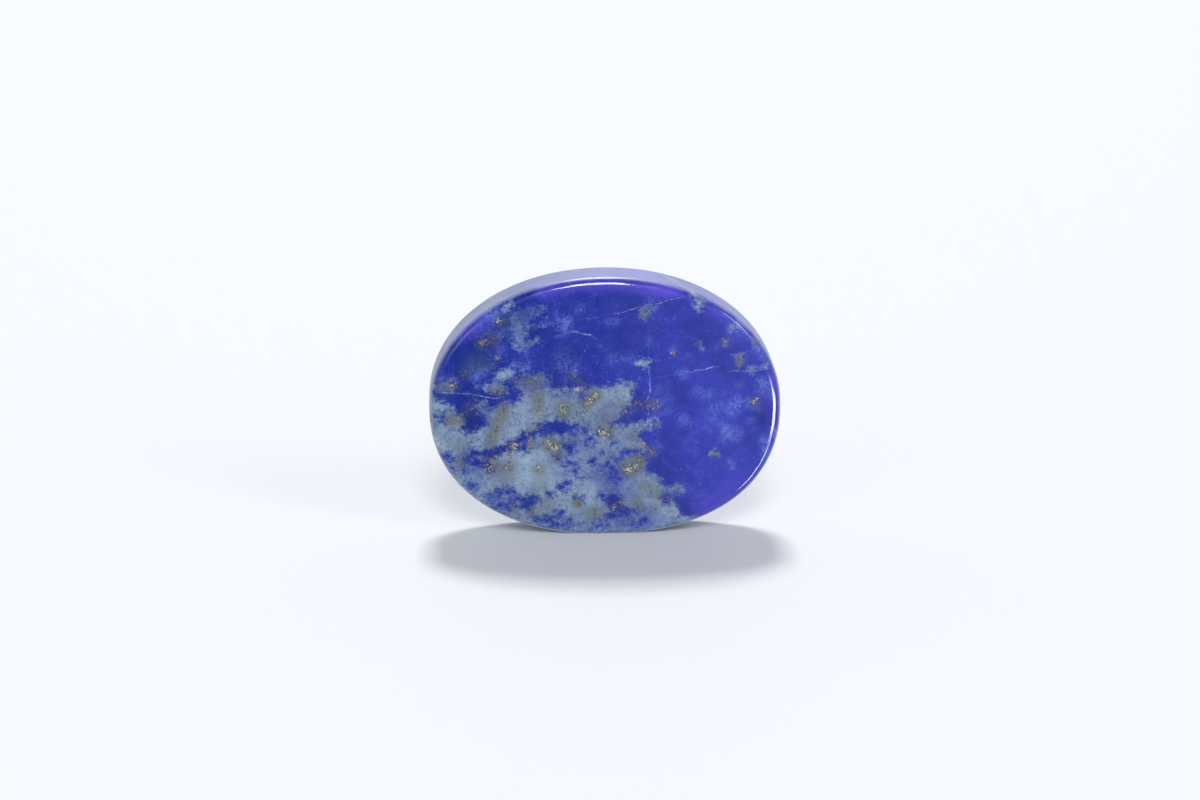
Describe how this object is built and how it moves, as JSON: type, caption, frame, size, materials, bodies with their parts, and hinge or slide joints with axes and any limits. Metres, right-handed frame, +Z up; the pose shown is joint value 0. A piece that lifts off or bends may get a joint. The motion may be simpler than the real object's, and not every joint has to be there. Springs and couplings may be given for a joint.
{
  "type": "polished lapis lazuli oval",
  "caption": "Flat oval tablet of deep blue polished stone with pale clouds, gold flecks and softly rounded rims, standing on a small flat spot.",
  "frame": {"origin": "middle of the small flat spot on the oval's long lower edge, where the stone rests", "axes": "+X along the long axis of the oval, to the right of the front face; -Y out of the polished front face; +Z up through the oval's short axis"},
  "size_m": [0.025, 0.0046, 0.0186],
  "materials": {
    "lapis": "high polish, deep ultramarine with grey-blue calcite clouds, pale hairline veins and gold pyrite flecks"
  },
  "bodies": {
    "root": {"lapis_lazuli_stone": "lapis"}
  },
  "joints": []
}
